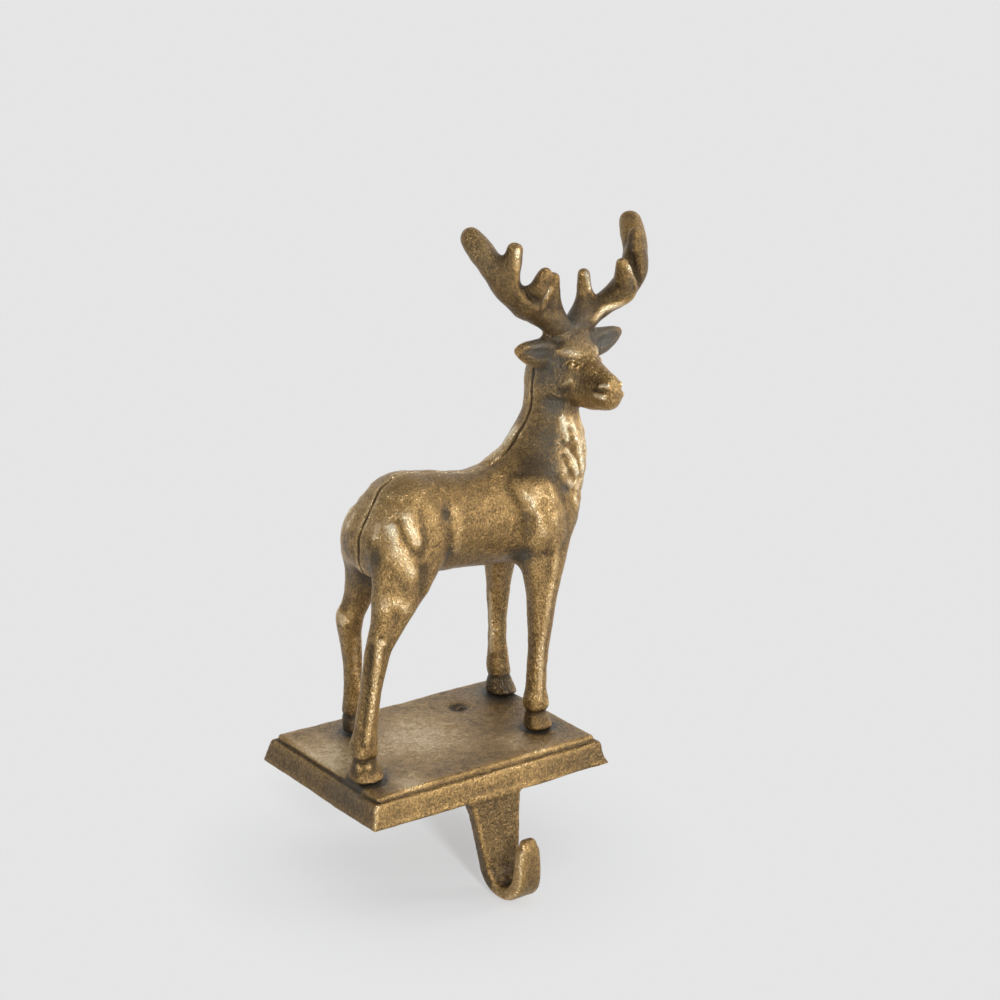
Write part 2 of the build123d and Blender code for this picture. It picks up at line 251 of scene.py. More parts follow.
def casting(name, field, axes, stains, soot_and_painted_light, rubbing):
    """Mesh on the zero level of a distance field. Relief is how far the field lies below its own mean
    nearby, positive on edges up to the rubbing they get and negative in hollows, less the soot, which is
    a field of dark gaps, dull finish and painted shade up to 1, below 0 where the finish is rubbed or a
    highlight is painted. A stain fades out from each place."""
    low = np.array([a[0] for a in axes])
    step = float(axes[0][1] - axes[0][0])
    level = openvdb.FloatGrid()
    level.copyFromArray(np.ascontiguousarray(field, dtype=np.float32))
    spots, faces = level.convertToQuads(0)
    places = low + step * spots
    mesh = bpy.data.meshes.new(name)
    mesh.vertices.add(len(spots))
    mesh.vertices.foreach_set("co", (0.001 * places).ravel())
    mesh.loops.add(faces.size)
    mesh.loops.foreach_set("vertex_index", faces.ravel().astype(np.int32))
    mesh.polygons.add(len(faces))
    mesh.polygons.foreach_set("loop_start", np.arange(0, faces.size, 4, dtype=np.int32))
    mesh.update(calc_edges=True)
    mesh.shade_smooth()
    dark = sampled(np.broadcast_to(soot_and_painted_light, field.shape), spots)
    values = {}
    for label, reach in relief_reaches.items():
        shallow = np.clip(field, -2 * reach, 2 * reach)
        relief = sampled(blurred(shallow, round(reach / step)) - shallow, spots) / reach
        values[label] = np.clip(relief, deepest_relief, rubbing) - dark
    values["stain"] = np.zeros(len(spots))
    for *spot, radius, strength in stains:
        away = np.linalg.norm(places - spot, axis=1)
        values["stain"] = np.maximum(values["stain"], strength * bell(away, radius))
    for label, value in values.items():
        mesh.attributes.new(label, "FLOAT", "POINT").data.foreach_set("value", value.astype(np.float32))
    piece = bpy.data.objects.new(name, mesh)
    bpy.context.scene.collection.objects.link(piece)
    return piece


axes = lattice(*plinth_room, plinth_grid)
x, y, z = open_grid(axes)
inset = skirt_inset * np.clip(z, 0, skirt_height) / skirt_height
skirt = rounded_slab(x, y, foot_half[0] - inset, foot_half[1] - inset, skirt_corner)
skirt = within(skirt, z - skirt_height, skirt_edge)
step_half = foot_half - skirt_inset - ledge
step_slab = rounded_slab(x, y, step_half[0], step_half[1], skirt_corner)
step_slab = within(step_slab, z - plinth_top, step_edge)
plinth_field = within(joined(skirt, step_slab, ledge_fillet), -z, foot_edge)
hollow = np.maximum(np.abs(x) - foot_half[0] + plinth_wall, np.abs(y) - foot_half[1] + plinth_wall)
plinth_field = within(plinth_field, -np.maximum(hollow, z - hollow_height), foot_edge)

turns = np.linspace(0, np.pi, bend_steps)
strap = [(strap_y, height) for height in strap_heights]
bend = list(zip(bend_y + bend_radius * np.cos(turns), bend_z - bend_radius * np.sin(turns)))
finger = [(bend_y - bend_radius, bend_z + finger_rise)]
away, along = nearest_on_path(y[0], z[0], strap + bend + finger)
shares, *columns = np.array(hook_rows).T
hook_width, hook_thick, hook_round, hook_lean = (np.interp(along, shares, c)[None] for c in columns)
hook_field = rounded_slab(x - hook_lean, away[None], hook_width / 2, hook_thick / 2, hook_round)
plinth_field = joined(plinth_field, hook_field, hook_fillet)

from_pit = np.hypot(x - pit_spot[0], y - pit_spot[1])
pit = bell(from_pit, pit_width)
plinth_field = plinth_field + pit_depth * pit * (z > plinth_top - pit_reach)
beads = np.random.default_rng(13).uniform(*bead_room, (bead_count, 3))
# Flaws, each a width, a depth and its path: a lump in the pit, spatter by a hoof, a nick in the skirt's
# right corner, the worn left corner of the step with its swollen ledge and a dent, the beads and the knobs
plinth_strokes = [
    (1.5, -1.8, (pit_spot[0] + 0.8, pit_spot[1] - 0.6, 10.6)),
    (1.2, -1.2, (38.1, -22.2, 11.4), (37.2, -22.6, 11.2)),
    (1.6, 1.3, (53.6, -37.6, 3.0), (53.2, -37.2, 5.0)),
    (5.0, 1.0, (-49.5, -34.5, 11.2)),
    (3.0, -0.9, (-51.0, -26.0, 9.0), (-51.0, -35.5, 9.0), (-43.0, -36.0, 9.0)),
    (2.4, 0.5, (-49.5, -12.0, 11.2), (-49.6, -20.0, 11.2)),
    *((0.9, -0.8, bead) for bead in beads),
    *((0.9, -0.7, knob_start + k * knob_step) for k in range(knob_count)),
]
carve(plinth_field, axes, plinth_strokes)
plinth_field = roughened(plinth_field, axes, plinth_lumps)

# Soot is the dark finish left in gaps and dull places, and rubbing takes it away; the same field also
# carries painted shade and painted highlights. On the step it lies in the pit, round its rim, and round the
# hooves as painted contact shade. The brighter places there, rubbed and with painted reflection, have a
# middle and a radius.
pit_soot, pit_rim_soot, pit_rim, pit_rim_width = 0.12, 0.5, 2.2, 0.9
hoof_contact_shade, hoof_shade_width = 0.9, 0.22
step_speckle = [(0.07, 1.3, 14)]
step_rub_and_reflection = 0.26
step_skin = 1.0
step_rub_and_reflection_spots = [(-8.0, 2.0, 20.0), (-46.0, 4.0, 17.0), (-34.0, -30.0, 8.0), (24.0, -26.0, 10.0)]
on_step = z > plinth_top - step_skin
plinth_soot_and_painted_light = pit_rim_soot * bell(from_pit - pit_rim, pit_rim_width) + pit_soot * pit
# Painted contact shade: a dark ring on the step round each hoof
for hoof_x, hoof_y, half_x, half_y in (right_fore_hoof, left_fore_hoof, right_hind_hoof, left_hind_hoof):
    ring = np.hypot((x - hoof_x) / half_x, (y - hoof_y) / half_y) - 1
    plinth_soot_and_painted_light = np.maximum(plinth_soot_and_painted_light, hoof_contact_shade * bell(ring, hoof_shade_width))
plinth_soot_and_painted_light = roughened(plinth_soot_and_painted_light, axes, step_speckle)
# Brighter patches on the step: rubbing together with a painted reflection
for spot_x, spot_y, radius in step_rub_and_reflection_spots:
    plinth_soot_and_painted_light = plinth_soot_and_painted_light - step_rub_and_reflection * bell(np.hypot(x - spot_x, y - spot_y), radius)
plinth_soot_and_painted_light = plinth_soot_and_painted_light * on_step

# The skirt is a little dull, and painted shade makes it darker toward the right and on its left side. Dark
# patina and painted shade lie in the crease under the step, the painted shade most of all on the left. The
# skirt's front and left rims carry a painted highlight, the step's front rim is darker, and the corner
# between the rims is rubbed bright, partly as wear and partly as a painted highlight.
plinth_rubbing = 0.015
skirt_soot, right_painted_shade, left_painted_shade = 0.02, 0.09, 0.07
right_fade, left_fade = (12, 42), (left_x + 3.2, left_x + 2.4)
crease_patina_and_shade, left_crease_painted_shade, crease_width = 0.07, 0.12, 0.45
crease_lift, crease_reach = 0.3, 0.4
rim_painted_highlight, rim_width = 0.15, 0.6
step_rim_darkening, step_rim_width = 0.06, 0.9
corner_wear_and_highlight, corner_width = 0.45, 0.9
corner_foot = np.array((left_x, front_y, 0))
corner_head = np.array((left_x + 2.2, front_y + 2.2, 8.6))
# Painted shade: the skirt darker toward the right and on its left side
skirt_dull_and_shade = skirt_soot + right_painted_shade * ramped(x, *right_fade) + left_painted_shade * ramped(x, *left_fade)
plinth_soot_and_painted_light = plinth_soot_and_painted_light + skirt_dull_and_shade * (z < skirt_height) - plinth_rubbing
# Dark patina and painted shade in the crease under the step, with more painted shade on the left
beyond_step = np.maximum(np.abs(x) - step_half[0], np.abs(y) - step_half[1])
crease = bell(z - skirt_height - crease_lift, crease_width) * (beyond_step > -crease_reach)
left_crease = crease * (x < crease_reach - step_half[0])
plinth_soot_and_painted_light = plinth_soot_and_painted_light + crease_patina_and_shade * crease + left_crease_painted_shade * left_crease
# Painted highlight along the skirt's front and left rims; the step's front rim is a little darker
rim_inset = skirt_inset + 0.2
from_rim = np.minimum(np.abs(x - left_x - rim_inset), np.abs(y - front_y - rim_inset))
skirt_rim = bell(from_rim, rim_width) * bell(z - skirt_height + 0.3, rim_width)
step_rim = bell(y + step_half[1], step_rim_width) * bell(z - plinth_top + 0.2, step_rim_width)
plinth_soot_and_painted_light = plinth_soot_and_painted_light - rim_painted_highlight * skirt_rim + step_rim_darkening * step_rim
# The near corner is rubbed bright: wear with a painted highlight along the edge
corner_line = from_run((x, y, z), corner_foot, corner_head)[0]
plinth_soot_and_painted_light = plinth_soot_and_painted_light - corner_wear_and_highlight * bell(corner_line, corner_width)

# The hook is dull, and darker in the bend. The finger is less dull, a painted highlight; the strap's left
# side is darker, painted shade; and the edge between that side and the front carries a painted highlight.
strap_soot, finger_painted_highlight, bend_soot, side_painted_shade = 0.055, 0.05, 0.05, 0.15
strap_edge_painted_highlight, strap_edge_width = 0.2, 0.5
strap_front, finger_back = -45, -52
bend_spot, bend_width = (-44, -30), 7.746
strap_left = hook_lean - hook_width / 2
strap_side = ramped(x, strap_left + 0.8, strap_left + 0.4) * (y > strap_front)
in_bend = bell(np.hypot(y - bend_spot[0], z - bend_spot[1]), bend_width)
# Painted highlight on the finger and painted shade down the strap's left side
hook_dull_and_shade = strap_soot - finger_painted_highlight * (y < finger_back) + bend_soot * in_bend + side_painted_shade * strap_side
plinth_soot_and_painted_light = plinth_soot_and_painted_light + hook_dull_and_shade * (z < -1)
# Painted highlight on the edge between the strap's left side and its front
strap_edge = bell(x - strap_left - strap_edge_width, strap_edge_width) * (z < -2)
plinth_soot_and_painted_light = plinth_soot_and_painted_light - strap_edge_painted_highlight * strap_edge

# Place, radius and strength of the blue-grey patina that settled round the hooves
plinth_stains = [
    (-43.8, -17.8, 11.2, 11.0, 0.8),
    (36.2, -16.2, 11.2, 9.0, 0.9),
    (45.9, 20.2, 11.2, 10.0, 1.0),
    (-23.4, 20.6, 11.2, 9.0, 0.9),
]
plinth = casting("cast_plinth", plinth_field, axes, plinth_stains, plinth_soot_and_painted_light, rubbing=0.08)
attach(plinth, "root")
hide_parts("plinth")


def put(tree, kind, inputs, **settings):
    """Adds a shader node. Inputs go by name or number, each a plain value or another node's output."""
    node = tree.nodes.new("ShaderNode" + kind)
    for name, value in settings.items():
        setattr(node, name, value)
    for name, value in inputs.items():
        if isinstance(value, bpy.types.NodeSocket):
            tree.links.new(value, node.inputs[name])
        else:
            node.inputs[name].default_value = value
    return node


def ramp(tree, value, stops):
    """Colour ramp through stops of (position, colour)."""
    node = put(tree, "ValToRGB", {0: value})
    while len(node.color_ramp.elements) < len(stops):
        node.color_ramp.elements.new(1)
    for element, (position, colour) in zip(node.color_ramp.elements, stops):
        element.position = position
        element.color = (*colour, 1)
    return node.outputs["Color"]


def arith(tree, operation, a, b, c=0.5, clamp=False):
    """One step of arithmetic on two or three values."""
    return put(tree, "Math", {0: a, 1: b, 2: c}, operation=operation, use_clamp=clamp).outputs[0]


# Sand grain of the mould, shared by every casting: fine grit, wider pocks and slow cloudy changes, all drawn
# out a little along the height. Each noise has its scale, per millimetre, and its roughness.
grain_scale = (1000, 1000, 750)
grain_noises = {"Grit": (1.5, 0.65), "Pocks": (0.65, 0.65), "Cloud": (0.07, 0.55)}
grain_group = bpy.data.node_groups.new("sand_cast_grain", "ShaderNodeTree")
for socket in grain_noises:
    grain_group.interface.new_socket(socket, in_out="OUTPUT", socket_type="NodeSocketFloat")
spot = put(grain_group, "TexCoord", {}).outputs["Object"]
millimetres = put(grain_group, "VectorMath", {0: spot, 1: grain_scale}, operation="MULTIPLY").outputs[0]
grain_out = grain_group.nodes.new("NodeGroupOutput")
for socket, (scale, roughness) in grain_noises.items():
    look = {"Vector": millimetres, "Scale": scale, "Detail": 3, "Roughness": roughness}
    grain_group.links.new(put(grain_group, "TexNoise", look).outputs["Fac"], grain_out.inputs[socket])

# Rubbed antique brass: gold where hands and cloth rub, brown between, dark blue-grey where it settles. How
# far it is rubbed is a sum over the inputs, each less its middle value and times its share. The edge and
# form inputs also carry painted shade and painted highlights.
rub_start = 0.26
rub_shares = {
    "Edge": (0.0, 1.1),
    "Form": (0.0, 0.4),
    "Grit": (0.5, 1.2),
    "Pocks": (0.5, 0.5),
    "Cloud": (0.5, 0.2),
}
stain_share = -0.18
brass_stops = [
    (0.0, (0.08, 0.054, 0.028)),
    (0.25, (0.205, 0.128, 0.051)),
    (0.5, (0.46, 0.288, 0.106)),
    (0.75, (0.74, 0.56, 0.325)),
    (1.0, (0.94, 0.82, 0.57)),
]
settled_colour = (0.115, 0.116, 0.102, 1)
settled_cover, settled_break = 0.7, -2.0
dull_roughness, rubbed_change = 0.4, -0.22
bare_metallic, settled_change = 0.95, -0.5
patina_group = bpy.data.node_groups.new("rubbed_brass", "ShaderNodeTree")
for socket in ("Edge", "Form", "Stain", "Grit", "Pocks", "Cloud"):
    patina_group.interface.new_socket(socket, in_out="INPUT", socket_type="NodeSocketFloat")
for socket, kind in (("Color", "Color"), ("Roughness", "Float"), ("Metallic", "Float")):
    patina_group.interface.new_socket(socket, in_out="OUTPUT", socket_type="NodeSocket" + kind)
given = patina_group.nodes.new("NodeGroupInput").outputs
rub = rub_start
for socket, (middle, share) in rub_shares.items():
    change = arith(patina_group, "SUBTRACT", given[socket], middle)
    rub = arith(patina_group, "MULTIPLY_ADD", change, share, rub)
rub = arith(patina_group, "MULTIPLY_ADD", given["Stain"], stain_share, rub, clamp=True)
brass = ramp(patina_group, rub, brass_stops)
grit_change = arith(patina_group, "SUBTRACT", given["Grit"], 0.5)
broken = arith(patina_group, "MULTIPLY_ADD", grit_change, settled_break, settled_cover, clamp=True)
settled = arith(patina_group, "MULTIPLY", given["Stain"], broken)
tone = put(patina_group, "Mix", {0: settled, 6: brass, 7: settled_colour}, data_type="RGBA").outputs[2]
dullness = arith(patina_group, "MULTIPLY_ADD", rub, rubbed_change, dull_roughness)
shine = arith(patina_group, "MULTIPLY_ADD", settled, settled_change, bare_metallic)
patina_out = patina_group.nodes.new("NodeGroupOutput")
for socket, value in (("Color", tone), ("Roughness", dullness), ("Metallic", shine)):
    patina_group.links.new(value, patina_out.inputs[socket])

coat_weight, coat_roughness = 0.06, 0.28
grain_depth = 0.0006
pock_height = 1.2


def antique_brass(name, bump, speckle, mottle):
    """Finish of a casting: the rubbed brass over the sand grain, which also roughens the surface. Speckle
    and mottle are how strongly the grit and the pocks show in the colour."""
    material = bpy.data.materials.new(name)
    material.use_nodes = True
    tree = material.node_tree
    shader = tree.nodes["Principled BSDF"]
    shader.inputs["Coat Weight"].default_value = coat_weight
    shader.inputs["Coat Roughness"].default_value = coat_roughness
    grain = tree.nodes.new("ShaderNodeGroup")
    grain.node_tree = grain_group
    finish = tree.nodes.new("ShaderNodeGroup")
    finish.node_tree = patina_group
    # The relief attributes hold wear and hollows, and also painted shade and painted highlights
    for socket, label in (("Edge", "edge_relief_and_painted_light"), ("Form", "form_relief_and_painted_light"), ("Stain", "stain")):
        value = put(tree, "Attribute", {}, attribute_name=label).outputs["Fac"]
        tree.links.new(value, finish.inputs[socket])
    tree.links.new(grain.outputs["Cloud"], finish.inputs["Cloud"])
    for socket, share in (("Grit", speckle), ("Pocks", mottle)):
        shown = arith(tree, "MULTIPLY_ADD", grain.outputs[socket], share, 0.5 - 0.5 * share)
        tree.links.new(shown, finish.inputs[socket])
    for socket, target in (("Color", "Base Color"), ("Roughness", "Roughness"), ("Metallic", "Metallic")):
        tree.links.new(finish.outputs[socket], shader.inputs[target])
    height = arith(tree, "MULTIPLY_ADD", grain.outputs["Pocks"], pock_height, grain.outputs["Grit"])
    rough = put(tree, "Bump", {"Height": height, "Strength": bump, "Distance": grain_depth})
    for socket in ("Normal", "Coat Normal"):
        tree.links.new(rough.outputs["Normal"], shader.inputs[socket])
    return material


plinth.data.materials.append(antique_brass("plinth_brass", bump=0.9, speckle=0.75, mottle=0.95))


# Stag: two hollow iron castings that meet on the plane through the spine, drawn together by one screw. The
# right half has the face. The parting line stays open and dark down the rump, the back and the nape.
stag_grid = 0.55
hoof_z = float(round(plinth_top, 1))
stag_room = ((-52, -36, hoof_z), (84, 29, 168))
head_x = 56.0
ear_y = -4.4
ear_droop = 0.075
leg_squareness = 2.8
leg_thinning = 0.25
body_end, leg_end, skull_end, ear_end = 3.0, 1.4, 4.0, 0.6
limb_blend, head_blend, brow_blend, skull_blend, ear_blend = 7.0, 4.0, 4.0, 3.0, 2.4
ear_rim = 0.8
body_wall = 5.0
screw_x, screw_z = 4.0, 96.2
pillar_radius = 5.2
shank_radius, shank_tip = 2.1, -9.1
head_radius, head_seat = 3.7, 10.4
parting_gap = 0.12
parting_edge = 0.5
parting_wander, parting_waves = 0.5, 2.2

# Distance along the body, then the section's middle across and up, and its half sizes
torso_rows = [
    (-35.4, 0.0, 91.6, 9.0, 5.8),
    (-33.0, 0.0, 92.0, 13.8, 9.4),
    (-28.6, 0.0, 94.6, 16.6, 14.4),
    (-20.5, 0.0, 97.6, 17.4, 19.2),
    (-6.0, 0.0, 97.6, 16.8, 19.0),
    (10.0, 0.0, 96.0, 16.6, 18.4),
    (25.0, 0.0, 95.2, 17.2, 18.8),
    (40.0, 0.0, 94.2, 16.6, 18.0),
    (53.0, 0.0, 95.8, 13.0, 14.6),
]
# Height, then the section's middle along and across the body, and its half sizes
neck_rows = [
    (83.2, 48.0, 0.0, 11.4, 9.0),
    (93.2, 45.4, 0.0, 18.6, 13.6),
    (104.2, 45.0, 0.0, 20.2, 15.4),
    (114.2, 46.6, 0.0, 18.6, 15.6),
    (123.2, 49.8, 0.0, 14.6, 13.8),
    (132.2, 51.4, 0.0, 10.6, 12.0),
    (144.2, 51.4, 0.0, 9.2, 11.2),
    (157.2, 52.4, 0.0, 8.6, 10.2),
]
right_fore_rows = [
    (hoof_z, *right_fore_hoof),
    (13.6, 35.8, -16.4, 5.3, 4.9),
    (17.8, 35.0, -16.5, 4.3, 4.0),
    (21.4, 34.9, -16.5, 4.9, 4.5),
    (28.2, 34.8, -16.5, 4.2, 3.9),
    (39.2, 35.2, -16.4, 4.0, 3.8),
    (52.2, 36.3, -16.0, 4.7, 4.4),
    (63.2, 37.0, -15.4, 5.7, 5.2),
    (73.2, 38.0, -14.4, 7.8, 6.0),
    (84.2, 39.8, -12.8, 10.6, 6.4),
    (95.2, 41.0, -10.4, 11.4, 6.4),
    (106.2, 40.4, -6.0, 8.6, 4.6),
]
left_fore_rows = [
    (hoof_z, *left_fore_hoof),
    (13.6, 45.4, 20.1, 5.9, 5.4),
    (18.6, 44.4, 20.0, 4.7, 4.4),
    (23.2, 43.8, 20.0, 4.6, 4.3),
    (33.2, 42.9, 19.5, 3.9, 3.7),
    (44.2, 42.2, 18.9, 3.8, 3.6),
    (54.2, 41.4, 17.8, 4.4, 4.1),
    (64.2, 40.6, 16.2, 5.4, 5.0),
    (74.2, 40.2, 14.4, 7.6, 6.0),
    (84.2, 40.6, 12.8, 10.4, 6.4),
    (95.2, 41.0, 10.4, 11.4, 6.4),
    (106.2, 40.4, 6.0, 8.6, 4.6),
]
right_hind_rows = [
    (hoof_z, *right_hind_hoof),
    (14.0, -44.4, -18.6, 5.7, 5.5),
    (18.0, -44.3, -18.0, 4.6, 4.3),
    (22.4, -44.8, -18.0, 5.2, 4.7),
    (30.7, -43.9, -18.0, 4.2, 4.0),
    (41.7, -42.5, -18.0, 3.7, 3.6),
    (52.2, -40.0, -17.5, 4.2, 3.9),
    (61.7, -37.0, -17.0, 5.3, 4.6),
    (69.8, -32.4, -16.4, 7.6, 5.4),
    (79.2, -27.0, -15.0, 11.6, 6.6),
    (90.2, -22.6, -12.2, 13.2, 6.8),
    (101.2, -20.0, -8.6, 10.6, 5.8),
    (110.2, -18.0, -4.0, 6.0, 4.0),
]
left_hind_rows = [
    (hoof_z, *left_hind_hoof),
    (14.0, -23.8, 20.4, 4.6, 4.4),
    (20.2, -25.0, 20.2, 3.8, 3.7),
    (31.2, -25.2, 20.0, 3.4, 3.4),
    (41.2, -25.3, 20.0, 3.8, 3.7),
    (50.2, -26.2, 20.0, 4.2, 4.0),
    (57.7, -26.8, 19.2, 5.0, 4.6),
    (65.7, -24.0, 18.0, 5.6, 5.2),
    (75.2, -21.8, 16.0, 7.8, 6.0),
    (86.2, -21.0, 13.4, 11.2, 6.6),
    (100.2, -20.0, 9.0, 10.6, 5.8),
    (110.2, -18.0, 4.0, 6.0, 4.0),
]
# Distance across the body from the muzzle back, then the middle along and up, and the half sizes
head_rows = [
    (-32.8, head_x, 144.2, 4.6, 5.6),
    (-26.0, head_x, 144.6, 5.7, 7.7),
    (-19.5, head_x, 145.4, 6.8, 9.6),
    (-12.5, head_x, 148.4, 9.0, 12.4),
    (-5.0, head_x, 149.6, 9.6, 13.8),
    (2.0, head_x, 151.4, 8.8, 11.8),
    (7.5, head_x, 153.2, 5.0, 6.0),
]
# Distance out from the middle of the head, then the ear's middle across and up, and its half sizes
ear_rows = [
    (5.5, ear_y, 156.0, 3.0, 4.4),
    (12.0, ear_y, 156.6, 3.6, 5.6),
    (18.0, ear_y, 157.6, 3.2, 5.0),
    (22.5, ear_y, 159.0, 2.1, 3.2),
    (25.2, ear_y, 160.0, 1.0, 1.3),
]
ear_hollow_rows = [
    (3.0, ear_y - 6.4, 157.4, 1.6, 1.6),
    (8.0, ear_y - 5.9, 157.5, 2.6, 2.8),
    (13.0, ear_y - 5.0, 158.0, 2.6, 3.0),
    (18.0, ear_y - 3.9, 158.8, 1.7, 2.4),
    (21.6, ear_y - 2.8, 159.9, 0.6, 1.0),
]
# Middle and half sizes of the broad mass between ears and antlers
brow_spot = (head_x, -2.6, 156.4)
brow_half = (10.4, 8.2, 8.0)
# The filler that beds the antlers' roots: its ends, out from the middle of the head, and its radius
root_start, root_end = (0.0, -3.6, 161.6), (8.0, -3.8, 165.6)
root_radius = 4.0


def flow(at, stations, values):
    """Smooth curve through the values at stations: cubic pieces that share their slopes."""
    slope = np.gradient(values, stations)
    at = np.clip(at, stations[0], stations[-1])
    k = np.clip(np.searchsorted(stations, at) - 1, 0, len(stations) - 2)
    span = stations[k + 1] - stations[k]
    u = (at - stations[k]) / span
    ends = values[k] * (1 + 2 * u) * (1 - u) ** 2 + values[k + 1] * (3 - 2 * u) * u**2
    return (ends + span * u * (1 - u) * (slope[k] * (1 - u) - slope[k + 1] * u)).astype(np.float32)


def lofted(along, u, v, rows, end_round, squareness=2.0):
    """Distance to a limb of oval sections that change smoothly along one axis. It is measured on the
    ray from the section's middle: the reach less the oval's own radius that way. A squareness above 2
    flattens the oval's sides, as the power in its sum."""
    table = np.array(sorted(rows)).T
    mid_u, mid_v, half_u, half_v = (flow(along, table[0], column) for column in table[1:])
    du, dv = u - mid_u, v - mid_v
    powers = np.abs(du / half_u) ** squareness + np.abs(dv / half_v) ** squareness
    share = np.maximum(powers, 1e-6) ** (1 / squareness)
    side = np.hypot(du, dv) * (1 - 1 / share)
    end = np.maximum(table[0][0] - along, along - table[0][-1])
    return within(side, end, end_round)


def stag_head(x, y, z):
    """Skull, brow and ears, alike on both sides of the head's middle plane but for the right ear's droop,
    which grows with the distance out."""
    out = np.abs(x - head_x)
    share = np.sqrt(sum(((p - m) / h) ** 2 for p, m, h in zip((x, y, z), brow_spot, brow_half)))
    root = from_run((out, y, z), np.array(root_start), np.array(root_end))[0] - root_radius
    brow = joined(min(brow_half) * (share - 1), root, brow_blend)
    lifted = z + ear_droop * out * (x < head_x)
    ear = lofted(out, y, lifted, ear_rows, ear_end)
    ear = within(ear, -lofted(out, y, lifted, ear_hollow_rows, ear_end), ear_rim)
    skull = joined(lofted(y, x, z, head_rows, skull_end), brow, skull_blend)
    return joined(skull, ear, ear_blend)


def mirrored(strokes, axis, middle):
    """Strokes and their mirror images about a plane across one axis."""
    images = []
    for width, depth, *path in strokes:
        flipped = np.array(path, dtype=float)
        flipped[:, axis] = 2 * middle - flipped[:, axis]
        images.append((width, depth, *map(tuple, flipped)))
    return strokes + images


def ring_round(x, y, z, half_x, half_y):
    """Points of an oval round a limb."""
    turns = np.linspace(0, 2 * np.pi, 13)
    return [(x + half_x * np.cos(t), y + half_y * np.sin(t), z) for t in turns]


# Strokes of the modelling tool, each a width, a depth and its path. These lie on the right flank and are
# repeated on the left: haunch, flank crease, ribs, shoulder, elbow, tufts and edge of the mane, withers.
flank_strokes = [
    (2.4, -1.4, (-23.9, -13.9, 105.4), (-23.7, -16.4, 102.0), (-22.7, -17.6, 98.0)),
    (2.0, -1.3, (-30.2, -13.4, 103.0), (-29.7, -14.6, 100.3), (-29.6, -16.3, 96.2)),
    (3.0, -1.3, (-29.0, -17.3, 94.0), (-28.0, -18.4, 91.3), (-26.4, -19.9, 87.2)),
    (1.7, -0.9, (-14.2, -14.0, 107.2), (-14.1, -15.9, 102.0), (-13.6, -16.4, 97.1)),
    (1.6, -0.6, (-17.0, -13.6, 107.6), (-17.0, -16.0, 102.6)),
    (1.6, -0.9, (-31.6, -7.8, 101.8), (-33.1, -8.7, 98.6)),
    (2.0, 0.5, (-18.6, -14.2, 107.1), (-18.6, -16.8, 101.8), (-19.3, -18.0, 95.9)),
    (1.6, 0.6, (-26.4, -13.5, 104.5), (-26.7, -16.4, 99.5), (-24.8, -18.3, 94.3), (-21.6, -18.4, 92.6)),
    (3.0, 0.5, (-7.4, -13.8, 106.7), (-8.0, -15.3, 102.6), (-6.9, -15.7, 96.8), (-6.2, -14.2, 89.7)),
    (1.5, 0.6, (-7.6, -14.6, 104.7)),
    (2.6, -0.9, (-3.6, -14.4, 105.0), (-3.2, -15.7, 98.4), (-3.4, -14.9, 91.2)),
    (3.4, 0.4, (-34.4, -10.1, 94.7), (-36.0, -9.0, 90.0)),
    (2.2, 0.3, (22.4, -11.0, 107.7), (24.8, -13.3, 103.6), (27.2, -15.3, 98.2), (28.6, -15.8, 92.6),
     (29.0, -14.2, 85.9)),
    (3.6, 0.4, (24.3, -8.0, 112.0), (31.3, -7.0, 113.6), (37.6, -9.5, 114.6), (42.2, -12.0, 111.5)),
    (2.6, 0.4, (29.0, -15.5, 82.4), (28.0, -12.5, 80.6)),
    (1.4, -0.9, (47.4, -12.0, 132.5), (48.6, -12.5, 129.5)),
    (1.3, -0.9, (48.4, -12.8, 127.4), (49.8, -13.4, 123.5)),
    (1.3, -0.8, (52.4, -12.5, 128.0), (53.4, -13.0, 122.7)),
    (1.4, -1.0, (48.7, -14.2, 119.9), (51.0, -14.6, 115.0), (53.2, -14.6, 110.4)),
    (1.3, -0.8, (55.0, -13.4, 119.1), (56.9, -13.4, 111.2)),
    (1.4, -1.0, (43.8, -14.6, 113.2), (46.0, -15.0, 110.0), (49.5, -15.2, 106.5)),
    (1.3, -0.8, (52.0, -14.6, 107.0), (54.0, -13.8, 101.2)),
    (1.0, 0.8, (46.5, -14.4, 117.5), (49.5, -15.0, 112.0), (51.5, -14.8, 108.0)),
    (1.0, 0.8, (52.4, -13.9, 119.0), (54.6, -14.0, 112.0)),
    (1.0, 0.6, (47.0, -13.6, 123.0), (50.4, -14.2, 120.6)),
    (1.5, 0.8, (40.4, -9.4, 121.3), (41.9, -12.6, 114.8), (45.0, -13.7, 109.4), (48.0, -14.4, 105.2)),
    (4.0, -1.6, (23.0, -5.0, 112.0), (29.0, -5.5, 114.5)),
]
# The shoulder blade stands proud of the ribs: middle and half sizes seen from the side, lean and height
blade_x, blade_z = 37.7, 97.5
blade_half = (9.4, 15.0)
blade_lean = 0.42
blade_height = 2.5
blade_corner = 5.0
blade_lumps, blade_grain = 0.45, 2.4
# Where the blade starts to stand out and where it is full: over its edge, and from the spine, chest, elbow
# and withers
blade_slope = (1.04, -4.16)
from_spine, from_chest, from_elbow, from_withers = (7, 11), (48, 39), (79, 93), (117, 105)
